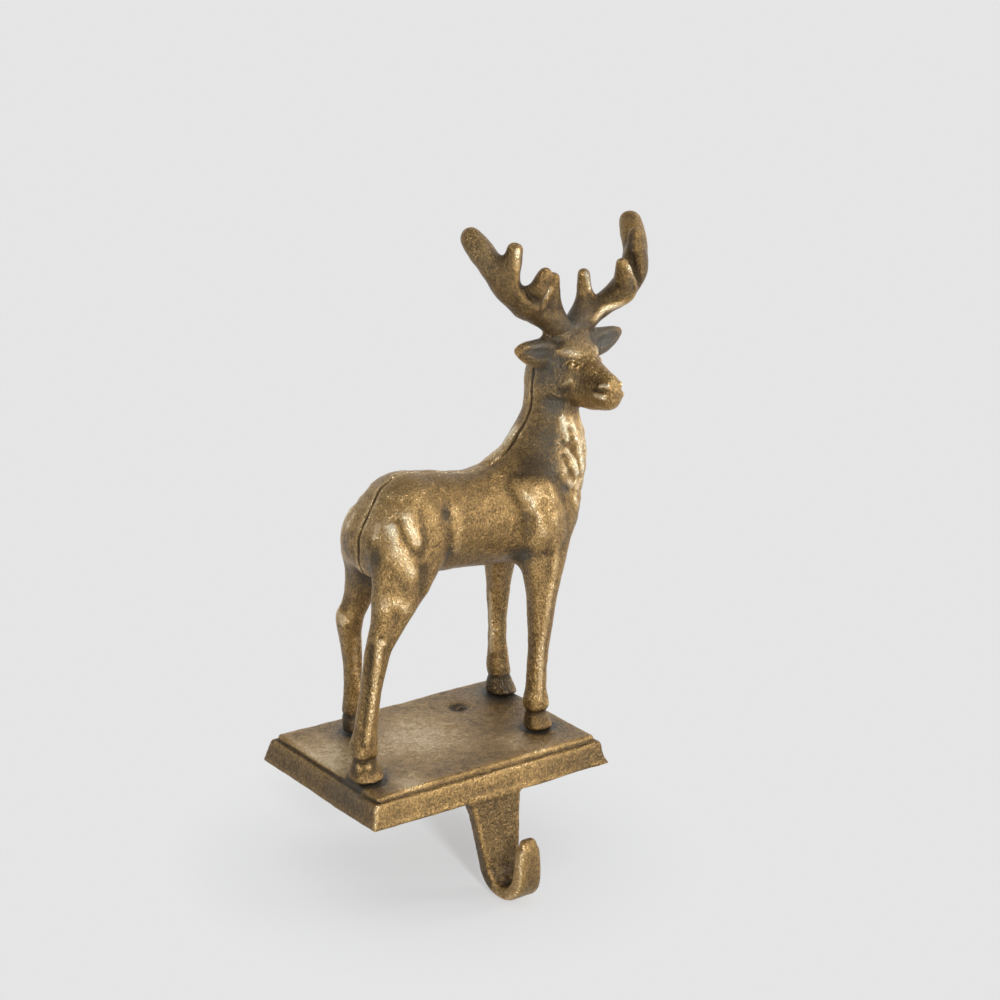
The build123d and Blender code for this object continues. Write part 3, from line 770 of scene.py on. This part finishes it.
# The crest of the nape, thigh, hock and shins, then the rings over the hooves, the dew claws of one leg and
# the cleft in the front of each hoof
leg_strokes = [
    (3.5, -1.5, (27.0, 4.0, 115.5), (31.5, 4.0, 119.5), (35.5, 3.0, 125.0)),
    (3.0, -0.9, (-35.7, -19.7, 76.9), (-32.6, -20.9, 77.4), (-30.0, -21.6, 75.2)),
    (2.6, 0.5, (-20.1, -19.6, 87.1), (-21.0, -20.4, 81.8), (-21.7, -20.2, 76.9)),
    (1.0, 0.8, (-39.1, -20.3, 65.3)),
    (1.4, -0.6, (-38.6, -20.8, 63.2)),
    (1.5, -0.6, (40.7, -19.1, 84.0), (39.1, -20.2, 73.9), (36.8, -20.5, 64.4), (34.2, -20.0, 45.0),
     (33.8, -20.2, 25.0)),
    (1.5, 0.6, (-41.8, -18.7, 61.5), (-43.2, -19.5, 53.7), (-44.6, -20.3, 44.6), (-46.2, -20.8, 33.6),
     (-47.7, -21.0, 26.2)),
    (1.5, -0.6, (-39.5, -20.3, 64.5), (-42.2, -21.2, 48.2), (-44.2, -21.6, 37.2), (-46.0, -21.8, 28.0)),
    (1.4, -0.5, (37.0, 16.5, 56.0), (38.4, 17.8, 44.0), (39.4, 18.3, 31.3)),
    (1.4, -0.5, (-26.6, 16.1, 50.3), (-25.9, 16.5, 37.9), (-24.4, 16.7, 29.4)),
    (2.0, -0.8, (-31.2, 20.6, 61.1), (-30.9, 17.2, 59.2)),
    (0.9, 0.9, *ring_round(-44.5, -18.0, 19.4, 5.0, 4.6)),
    (0.9, 0.9, *ring_round(34.9, -16.5, 18.9, 4.5, 4.2)),
    (0.9, 0.6, *ring_round(44.3, 20.0, 19.4, 4.8, 4.5)),
    (0.9, 0.5, *ring_round(-25.0, 20.2, 18.6, 4.0, 3.8)),
    (1.2, -0.9, (-48.3, -20.0, 17.4)),
    (1.2, -0.9, (-45.6, -22.2, 17.6)),
    (1.0, 1.2, (41.6, -16.2, 11.2), (40.6, -16.4, 16.5)),
    (1.0, 1.2, (52.0, 20.2, 11.2), (50.4, 20.1, 16.5)),
    (1.0, 1.2, (-38.3, -17.8, 11.2), (-38.9, -18.0, 16.5)),
    (1.0, 1.2, (-18.7, 20.6, 11.2), (-19.4, 20.4, 16.5)),
]
# On the face's right side, repeated on its left: socket, brow, cheek, jaw, lips and nostril
face_strokes = [
    (2.6, 1.1, (46.8, -13.2, 153.2), (48.4, -15.0, 153.2), (50.4, -17.0, 153.4)),
    (1.6, -0.7, (47.2, -9.6, 156.8), (49.0, -13.0, 157.5), (50.9, -16.2, 156.8)),
    (3.4, 0.6, (49.6, -20.0, 148.2), (50.6, -26.0, 148.4)),
    (0.9, -0.7, (47.5, -10.4, 144.0), (47.5, -13.3, 145.6), (48.2, -16.0, 147.4)),
    (1.6, 0.4, (47.4, -11.0, 142.2), (47.8, -14.0, 143.6)),
    (2.0, 0.9, (43.8, -7.2, 138.4), (47.4, -10.2, 137.6)),
    (0.8, 0.6, (50.0, -25.7, 145.4), (50.6, -29.3, 145.8), (52.0, -32.2, 145.8)),
    (1.0, -0.8, (51.0, -29.0, 147.5), (52.4, -32.0, 147.9)),
    (1.0, -0.8, (50.3, -27.6, 143.8), (51.4, -31.4, 143.5)),
    (0.9, 0.5, (52.9, -32.4, 149.6)),
    (1.6, -0.4, (44.0, -3.2, 162.0), (45.4, -6.8, 158.4), (46.4, -7.6, 153.0)),
]
# Height, then how far along the body the edge of the mane lies
mane_edge_rows = [
    (90.0, 57.0),
    (97.0, 50.0),
    (105.0, 46.5),
    (115.0, 42.5),
    (122.0, 42.5),
    (131.0, 45.0),
    (140.0, 50.0),
]
mane_side, mane_foot, mane_head = (0, 2.5), (94, 100), (134, 129)
lock_width, lock_height, lock_squeeze = 2.6, 1.8, 0.35
hair_height, hair_width = 0.4, 1.4
stag_lumps = [(0.35, 6.0, 21), (0.16, 3.2, 24), (0.14, 1.7, 22)]

axes = lattice(*stag_room, stag_grid)
x, y, z = open_grid(axes)
torso_field = lofted(x, y, z, torso_rows, body_end)
stag_field = joined(torso_field, lofted(z, x, y, neck_rows, body_end), limb_blend)
for rows in (right_fore_rows, left_fore_rows, right_hind_rows, left_hind_rows):
    leg = lofted(z, x, y, rows, leg_end, leg_squareness) + leg_thinning
    stag_field = joined(stag_field, leg, limb_blend)
stag_field = joined(stag_field, stag_head(x, y, z), head_blend)
worked = np.zeros_like(stag_field)
carve(worked, axes, mirrored(flank_strokes, 1, 0.0) + leg_strokes + mirrored(face_strokes, 0, head_x))
stag_field = stag_field + worked

blade_out = x - blade_x + blade_lean * np.maximum(z - blade_z, 0)
blade = rounded_slab(blade_out, z - blade_z, blade_half[0], blade_half[1], blade_corner)
on_blade = ramped(blade, *blade_slope)
on_blade = on_blade**2 * (3 - 2 * on_blade) * ramped(np.abs(y), *from_spine) * ramped(x, *from_chest)
on_blade = on_blade * ramped(z, *from_elbow) * ramped(z, *from_withers)
stag_field = stag_field - on_blade * (blade_height + blade_lumps * lumps(axes, blade_grain, 25))

# The mane's locks hang: their lattice is drawn out along the height
mane_x = flow(z, *np.array(mane_edge_rows).T)
in_mane = ramped(x - mane_x, *mane_side) * ramped(z, *mane_foot) * ramped(z, *mane_head)
locks = lumps([axes[0], axes[1], lock_squeeze * axes[2]], lock_width, 23)
stag_field = stag_field - in_mane * (lock_height * locks + hair_height * lumps(axes, hair_width, 28))
stag_field = roughened(stag_field, axes, stag_lumps)

# Inside are the torso's core, which leaves a pillar round the screw, and the bores for its shank and head
from_screw = np.hypot(x - screw_x, z - screw_z)
core = np.maximum(torso_field + body_wall, pillar_radius - from_screw)
shank_bore = np.maximum(from_screw - shank_radius, shank_tip - y)
head_bore = np.maximum(from_screw - head_radius, head_seat - y)
for space in (core, shank_bore, head_bore):
    stag_field = np.maximum(stag_field, -space)

# Place, radius and strength of the blue-grey patina that settled in the hollows
stag_stains = [
    (42.0, -11.0, 124.0, 8.0, 0.6),
    (43.0, -13.0, 113.5, 4.5, 0.7),
    (47.0, -14.2, 106.5, 3.0, 0.9),
    (29.4, -15.3, 99.0, 2.3, 0.9),
    (30.6, -15.8, 92.0, 2.3, 0.8),
    (27.5, -15.0, 82.0, 4.2, 0.8),
    (-7.6, -14.8, 104.5, 2.4, 0.4),
    (-5.8, -14.0, 90.0, 3.0, 0.6),
    (-35.0, -9.6, 91.0, 4.0, 0.5),
    (-26.0, 9.5, 78.0, 9.0, 0.7),
    (45.0, -10.0, 136.0, 6.0, 0.9),
    (44.0, -5.0, 146.0, 6.0, 0.7),
    (40.0, -7.0, 157.8, 5.0, 0.9),
    (72.0, -7.0, 158.0, 8.0, 0.9),
    (54.0, -8.0, 162.0, 9.0, 0.6),
    (48.0, -6.0, 150.0, 10.0, 0.9),
    (-23.4, 20.6, 13.0, 8.0, 0.9),
    (45.9, 20.2, 13.0, 7.0, 0.7),
]
# Place on either side, radius and strength of brighter spots: painted highlights on the haunch, shoulder,
# mane and brow, and some rubbing. A negative one is duller.
highlight_and_rubbed_spots = [
    (-22.0, 16.0, 101.0, 12.0, 0.06),
    (-33.0, 9.0, 98.0, 7.0, 0.07),
    (-27.5, 18.5, 91.0, 4.5, 0.06),
    (-33.0, 20.5, 77.0, 4.5, -0.01),
    (29.0, 13.8, 103.0, 4.0, 0.1),
    (36.0, 17.5, 91.0, 5.0, 0.08),
    (49.5, 11.6, 130.0, 4.0, 0.16),
    (52.0, 12.6, 114.0, 5.0, 0.14),
    (51.5, 11.5, 161.5, 5.0, 0.1),
    (54.0, 28.0, 146.0, 6.0, -0.06),
    (53.0, 10.0, 150.0, 16.0, 0.1),
    (32.5, 14.6, 101.5, 6.5, 0.13),
]
# Darker runs, each from one place to another, with a width and its soot: dark patina with painted shade over
# the withers and down the neck's side
patina_and_shade_runs = [
    ((24.0, -3.0, 113.0), (39.0, -12.0, 115.5), 5.0, 0.22),
    ((41.5, -9.5, 132.0), (43.5, -13.0, 111.0), 5.0, 0.07),
]
ear_run = np.array([(8.0, ear_y, 156.5), (25.0, ear_y, 160.0)])
ear_soot, ear_width = 0.22, 6.0
parting_soot, parting_width, back_line = 0.9, 0.5, 0.15
rump_line, nape_line, face_x = (-18, -26), (26, 34), head_x - 5
sole_contact_shade, sole_height = 0.6, 0.8
leg_soot, hoof_dull, hoof_top = 0.05, 0.08, 19
leg_fade = (75, 55)
stroke_soot, stroke_limits = 0.14, (-0.2, 0.05)
mane_painted_highlight, blade_painted_highlight = 0.12, 0.06
stag_speckle = [(0.035, 1.2, 27)]

# The parting line is dark over the rump, the withers and the nape, and fainter along the back
open_line = np.maximum(ramped(x, *rump_line), back_line) + ramped(x, *nape_line) * (x < face_x)
stag_soot_and_painted_light = parting_soot * bell(y, parting_width) * np.minimum(open_line, 1)
# Painted contact shade at the foot of each hoof, where it stands on the step
stag_soot_and_painted_light = np.maximum(stag_soot_and_painted_light, sole_contact_shade * bell(z - hoof_z, sole_height))
from_ear = from_run((np.abs(x - head_x), y, z), *ear_run)[0]
stag_soot_and_painted_light = np.maximum(stag_soot_and_painted_light, ear_soot * bell((from_ear / ear_width) ** 2, 1))
# Dark patina and painted shade along the withers and the neck's side
for start, end, width, soot_and_painted_light in patina_and_shade_runs:
    away = from_run((x, y, z), np.array(start), np.array(end))[0]
    stag_soot_and_painted_light = np.maximum(stag_soot_and_painted_light, soot_and_painted_light * bell(away, width))
stag_soot_and_painted_light = stag_soot_and_painted_light + leg_soot * ramped(z, *leg_fade) + hoof_dull * (z < hoof_top)
# Painted highlights, with some rubbing, brighten these spots
for spot_x, spot_y, spot_z, radius, strength in highlight_and_rubbed_spots:
    away = np.sqrt((x - spot_x) ** 2 + (np.abs(y) - spot_y) ** 2 + (z - spot_z) ** 2)
    stag_soot_and_painted_light = stag_soot_and_painted_light - strength * bell(away, radius)
stag_soot_and_painted_light = stag_soot_and_painted_light + np.clip(stroke_soot * worked, *stroke_limits)
# Painted highlights over the mane and the shoulder blade
stag_soot_and_painted_light = stag_soot_and_painted_light - mane_painted_highlight * in_mane - blade_painted_highlight * on_blade
stag_soot_and_painted_light = roughened(stag_soot_and_painted_light, axes, stag_speckle)

ragged = y + parting_wander * lumps(axes, parting_waves, 26)
right_cut = within(stag_field, ragged + parting_gap, parting_edge)
left_cut = within(stag_field, parting_gap - ragged, parting_edge)
for name, node, field in (("stag_right", "right_half", right_cut), ("stag_left", "left_half", left_cut)):
    half = casting(name, field, axes, stag_stains, stag_soot_and_painted_light, rubbing=0.4)
    half.data.materials.append(antique_brass(name + "_brass", bump=1.0, speckle=1.0, mottle=0.4))
    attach(half, "root")
    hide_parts(node)


# Eyes: cast with the right half. Each is a shallow plate of finer modelling that lies in its socket, with
# the ball, the two lids, the knob at the inner corner and the fold of the brow raised from it.
eye_grid = 0.2
eye_room = 6.5
eye_spot = np.array((48.6, -15.2, 153.4))
eye_way = np.array((0.69, -0.72, 0.08))
eye_up = np.array((0.38, 0.45, 0.81))
plate_half = (5.2, 3.6)
plate_depth, plate_back = 0.75, 1.6
plate_flat, plate_fall = 0.85, 1.2
ball_half, ball_height = (1.4, 1.15), 0.9
# Each lid's arch at its middle, its width and its height
lid_half = 3.7
lids = [(1.6, 0.5, 0.45), (-1.45, 0.45, 0.25)]
knob_spot, knob_half, knob_height = (4.3, 0.3), (0.9, 0.8), 0.8
fold_rise, fold_bow, fold_width, fold_height = 3.1, 0.05, 0.5, 0.7
fold_middle, fold_half = -0.5, 3.2
eye_lumps = [(0.1, 0.9, 41)]
lid_soot, lid_relief = 0.2, 0.4
for side, name in ((1, "right_eye"), (-1, "left_eye")):
    middle = eye_spot if side == 1 else eye_spot * (-1, 1, 1) + (2 * head_x, 0, 0)
    axes = lattice(middle - eye_room, middle + eye_room, eye_grid)
    x, y, z = open_grid(axes)
    offsets = (side * (x - middle[0]), y - middle[1], z - middle[2])
    u = sum(o * w for o, w in zip(offsets, eye_way))
    v = sum(o * w for o, w in zip(offsets, eye_up))
    relief = ball_height * np.sqrt(np.maximum(1 - (u / ball_half[0]) ** 2 - (v / ball_half[1]) ** 2, 0))
    arch = np.maximum(1 - (u / lid_half) ** 2, 0)
    for rise, width, height in lids:
        relief = np.maximum(relief, height * bell(v - rise * arch, width) * (arch > 0))
    knob = bell(u - knob_spot[0], knob_half[0]) * bell(v - knob_spot[1], knob_half[1])
    fold = bell(v - fold_rise + fold_bow * u**2, fold_width) * (np.abs(u - fold_middle) < fold_half)
    relief = np.maximum(relief, np.maximum(knob_height * knob, fold_height * fold))
    share = np.hypot(u / plate_half[0], v / plate_half[1])
    plate = plate_depth + plate_fall * np.clip(share - plate_flat, 0, 1) ** 0.5
    head = stag_head(x, y, z)
    eye_field = np.maximum(head + plate - relief, -plate_back - head)
    eye_field = roughened(eye_field, axes, eye_lumps)
    eye_field = np.maximum(eye_field, plate_half[1] * (share - 1))
    eye_soot = lid_soot * ramped(relief, lid_relief, 0)
    piece = casting(name, eye_field, axes, [], eye_soot, rubbing=0.2)
    piece.data.materials.append(antique_brass(name + "_brass", bump=0.4, speckle=1.2, mottle=0.4))
    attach(piece, "root")


# Antlers: both are one iron casting, bridged over the brow. A peg under the bridge seats it in the head, and
# filler beds its roots. Each antler is a beam with three tines.
antler_grid = 0.45
antler_room = ((head_x - 43, -18, 153), (head_x + 43, 14, 206))
tine_blend = 4.0
antler_seat = 1.2
root_y = -3.6
bridge_z = 162.4
peg_radius = 2.6
peg_depth = 7.0
peg_rise = 3.0
antler_lumps = [(0.4, 6.0, 31), (0.2, 3.0, 33), (0.14, 1.6, 32)]
antler_dull, antler_stroke_soot, antler_stroke_limits = 0.13, 0.28, (-0.4, 0.05)
antler_stains = [(head_x, root_y, 163.0, 10.0, 0.9), (20.0, 1.0, 193.0, 9.0, 0.35)]
# The tips that are rubbed most: place and radius
tip_rubbing = 0.14
rubbed_tips = [(92.0, 4.0, 196.0, 9.0), (20.0, 2.0, 194.0, 9.0)]

# Distance out from the middle of the head, across, height and radius, from root to tip
beam_rows = [
    (0.0, -3.6, 162.6, 4.4),
    (10.0, -3.9, 168.4, 4.5),
    (16.6, -5.0, 172.0, 4.6),
    (23.8, -6.0, 176.2, 4.8),
    (30.0, -4.8, 182.4, 4.9),
    (34.0, -1.0, 190.2, 4.9),
    (36.2, 4.0, 196.2, 4.8),
    (37.4, 7.0, 199.2, 4.3),
]
second_tine_rows = [
    (30.6, -4.6, 184.4, 4.0),
    (29.4, -6.6, 191.0, 3.7),
    (28.6, -7.2, 196.6, 3.1),
]
forward_tine_rows = [
    (22.2, -7.2, 176.6, 4.0),
    (20.2, -10.2, 181.6, 3.5),
    (18.2, -12.0, 187.6, 2.7),
]
brow_tine_rows = [
    (6.8, -3.6, 167.0, 4.2),
    (7.4, -3.2, 175.0, 3.2),
    (7.2, -3.1, 183.4, 2.4),
]
# Ridges and grooves of the modelling tool, on the right antler and then on the left
antler_strokes = [
    (1.2, -1.2, (26.3, -10.1, 196.5), (26.1, -10.0, 190.7), (26.3, -9.3, 183.2), (29.4, -10.2, 179.0),
     (34.6, -10.7, 175.2)),
    (1.5, 1.0, (17.8, 2.7, 197.1), (18.4, -0.2, 193.5), (19.6, -2.9, 190.9)),
    (1.2, -1.0, (19.2, 0.3, 196.3), (19.7, -2.1, 193.0), (21.3, -4.9, 190.3)),
    (1.2, -1.0, (45.9, -4.4, 179.5), (44.0, -4.0, 175.5), (38.5, -9.6, 175.1)),
    (1.5, 1.0, (31.6, -10.3, 179.5), (33.4, -12.1, 178.5)),
    (1.2, -1.1, (62.7, -5.6, 184.0), (63.9, -6.3, 178.7), (67.3, -4.6, 173.8)),
    (1.4, -1.3, (64.4, -8.5, 167.2), (68.5, -9.3, 170.7), (75.0, -10.2, 172.0), (80.4, -10.6, 174.6)),
    (1.2, -1.1, (81.9, -10.5, 177.5), (80.0, -11.5, 181.5), (75.4, -14.8, 186.5)),
    (1.6, 1.2, (81.7, -7.1, 198.3), (81.9, -6.7, 191.3), (83.3, -8.3, 184.6), (84.1, -10.0, 179.4)),
]


def round_branch(out, y, z, rows):
    """Distance to a round branch along a smooth curve: the least over its short runs, less their radius."""
    table = np.array(rows)
    stations = np.arange(len(rows), dtype=float)
    fine = np.linspace(0, len(rows) - 1, 5 * len(rows))
    stops = np.stack([flow(fine, stations, column) for column in table.T], axis=1)
    distance = np.float32(1e3)
    for start, end in zip(stops, stops[1:]):
        away, t = from_run((out, y, z), start[:3], end[:3])
        distance = np.minimum(distance, away - start[3] - t * (end[3] - start[3]))
    return distance


axes = lattice(*antler_room, antler_grid)
x, y, z = open_grid(axes)
out = np.abs(x - head_x)
antler_field = round_branch(out, y, z, beam_rows)
for rows in (second_tine_rows, forward_tine_rows, brow_tine_rows):
    antler_field = joined(antler_field, round_branch(out, y, z, rows), tine_blend)
worked = np.zeros_like(antler_field)
carve(worked, axes, antler_strokes)
antler_field = roughened(antler_field + worked, axes, antler_lumps)
antler_field = np.maximum(antler_field, -antler_seat - stag_head(x, y, z))
peg = np.maximum(np.hypot(x - head_x, y - root_y) - peg_radius, bridge_z - peg_depth - z)
antler_field = np.minimum(antler_field, np.maximum(peg, z - bridge_z - peg_rise))
antler_soot = antler_dull + np.clip(antler_stroke_soot * worked, *antler_stroke_limits)
for spot_x, spot_y, spot_z, radius in rubbed_tips:
    away = np.sqrt((x - spot_x) ** 2 + (y - spot_y) ** 2 + (z - spot_z) ** 2)
    antler_soot = antler_soot - tip_rubbing * bell(away, radius)
antlers = casting("cast_antlers", antler_field, axes, antler_stains, antler_soot, rubbing=0.4)
antlers.data.materials.append(antique_brass("antler_brass", bump=1.0, speckle=0.75, mottle=0.4))
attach(antlers, "root")
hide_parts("antlers")


# Screws: slotted steel machine screws, one through the left flank into the right half and one up through
# the plinth into each hoof. The solids are kept, with a dulled steel on them.
steel_roughness, steel_grit = 0.25, 0.4
steel_stops = [(0.3, (0.2, 0.19, 0.17)), (0.7, (0.42, 0.41, 0.39))]
steel = bpy.data.materials.new("screw_steel")
steel.use_nodes = True
steel_tree = steel.node_tree
steel_grain = steel_tree.nodes.new("ShaderNodeGroup")
steel_grain.node_tree = grain_group
steel_shader = steel_tree.nodes["Principled BSDF"]
steel_shader.inputs["Metallic"].default_value = 1.0
steel_tone = ramp(steel_tree, steel_grain.outputs["Pocks"], steel_stops)
steel_tree.links.new(steel_tone, steel_shader.inputs["Base Color"])
steel_rough = arith(steel_tree, "MULTIPLY_ADD", steel_grain.outputs["Grit"], steel_grit, steel_roughness)
steel_tree.links.new(steel_rough, steel_shader.inputs["Roughness"])
for name in ("body_screw", "hoof_screws"):
    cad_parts[name].data.materials.clear()
    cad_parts[name].data.materials.append(steel)


# Floor: a plain pale sheet that the hook just touches. Round the part it is matt and takes the shadow, and
# farther out it glows evenly, so that no horizon shows.
pale = (0.784, 0.784, 0.784, 1)
matt_colour = (0.87, 0.885, 0.91, 1)
floor_reach = 30.0
floor_gap = 0.0003
shadow_start, shadow_end = 0.03, 0.11
shadow_glow = 0.38
floor_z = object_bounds()[0][2] - floor_gap
floor_turns = ((-1, -1), (1, -1), (1, 1), (-1, 1))
floor_corners = [(sx * floor_reach, sy * floor_reach, floor_z) for sx, sy in floor_turns]
floor_mesh = bpy.data.meshes.new("floor")
floor_mesh.from_pydata(floor_corners, [], [(0, 1, 2, 3)])
floor = bpy.data.objects.new("floor", floor_mesh)
bpy.context.scene.collection.objects.link(floor)


def spread(tree, value, start, end, first, last):
    """Straight change from a first to a last number while a value goes from start to end."""
    return put(tree, "MapRange", {0: value, 1: start, 2: end, 3: first, 4: last}).outputs[0]


floor_paint = bpy.data.materials.new("pale_floor")
floor_paint.use_nodes = True
tree = floor_paint.node_tree
tree.nodes.clear()
place = put(tree, "TexCoord", {}).outputs["Object"]
reach = put(tree, "VectorMath", {0: place}, operation="LENGTH").outputs["Value"]
fade = spread(tree, reach, shadow_start, shadow_end, shadow_glow, 1.0)
matt = put(tree, "BsdfDiffuse", {"Color": matt_colour}).outputs[0]
glow = put(tree, "Emission", {"Color": pale, "Strength": 1.0}).outputs[0]
both = put(tree, "MixShader", {0: fade, 1: matt, 2: glow}).outputs[0]
put(tree, "OutputMaterial", {"Surface": both})
floor_mesh.materials.append(floor_paint)


# Light: a white sheet rises behind the part, a soft box hangs over it, and two lamps stand at the right and
# in front. The side toward the camera is dark, which gives the brass its dark reflections.
backdrop_way = (0.6, 0.8, 0.0)
backdrop_light = 1.35
backdrop_side, backdrop_top = (0.15, 0.65), (0.45, 0.75)
skyline, soft_box = (0.0, 0.1), (0.8, 1.0)
dark_side = 0.28
world = bpy.data.worlds.new("studio")
bpy.context.scene.world = world
world.use_nodes = True
tree = world.node_tree
tree.nodes.clear()
toward = put(tree, "TexCoord", {}).outputs["Generated"]
rise = put(tree, "SeparateXYZ", {0: toward}).outputs["Z"]
behind = put(tree, "VectorMath", {0: toward, 1: backdrop_way}, operation="DOT_PRODUCT").outputs["Value"]
across = spread(tree, behind, *backdrop_side, 0.0, 1.0)
upward = spread(tree, rise, *backdrop_top, backdrop_light, 0.0)
backdrop = arith(tree, "MULTIPLY", across, upward)
below = spread(tree, rise, *skyline, 1.0, 0.0)
overhead = spread(tree, rise, *soft_box, 0.0, 1.0)
white = arith(tree, "MAXIMUM", arith(tree, "MAXIMUM", backdrop, below), overhead)
glow = arith(tree, "MULTIPLY_ADD", white, 1 - dark_side, dark_side)
sky = put(tree, "Background", {"Color": pale, "Strength": glow}).outputs[0]
put(tree, "OutputWorld", {"Surface": sky})

# Name, direction toward the light, strength and apparent width in degrees
suns = [
    ("key", (0.94, -0.34, 0.3), 1.4, 24),
    ("front", (-0.32, -0.94, 0.38), 2.3, 8),
]
for name, toward, strength, width in suns:
    lamp = bpy.data.lights.new(name, "SUN")
    lamp.energy = strength
    lamp.angle = np.radians(width)
    light = bpy.data.objects.new(name, lamp)
    light.rotation_euler = Vector(toward).to_track_quat("Z", "Y").to_euler()
    bpy.context.scene.collection.objects.link(light)


# Camera: the photograph's view, from the front left and a little above, as fitted to the plinth's corners.
# Angles are in degrees and lengths in millimetres.
view_turn, view_down, view_roll = 53.05, 17.12, 1.037
view_distance = 801.07
view_aim = 70.0
view_right, view_up = 23.19, 33.37
view_lens = 77.1
turn, down, roll = np.radians([view_turn, view_down, view_roll])
sight = np.array((np.cos(turn) * np.cos(down), np.sin(turn) * np.cos(down), -np.sin(down)))
level_right = np.array((np.sin(turn), -np.cos(turn), 0))
level_up = np.cross(level_right, sight)
right = np.cos(roll) * level_right + np.sin(roll) * level_up
up = np.cos(roll) * level_up - np.sin(roll) * level_right
eye = (0, 0, view_aim) - view_distance * sight + view_right * right + view_up * up
camera = bpy.data.objects.new("camera", bpy.data.cameras.new("camera"))
camera.data.lens = view_lens
camera.data.sensor_width = 36.0
camera.data.clip_end = 200.0
facing = Matrix(np.stack([right, up, -sight], axis=1)).to_4x4()
camera.matrix_world = Matrix.Translation(0.001 * eye) @ facing
bpy.context.scene.collection.objects.link(camera)
bpy.context.scene.camera = camera

bpy.context.scene.view_settings.view_transform = "Standard"
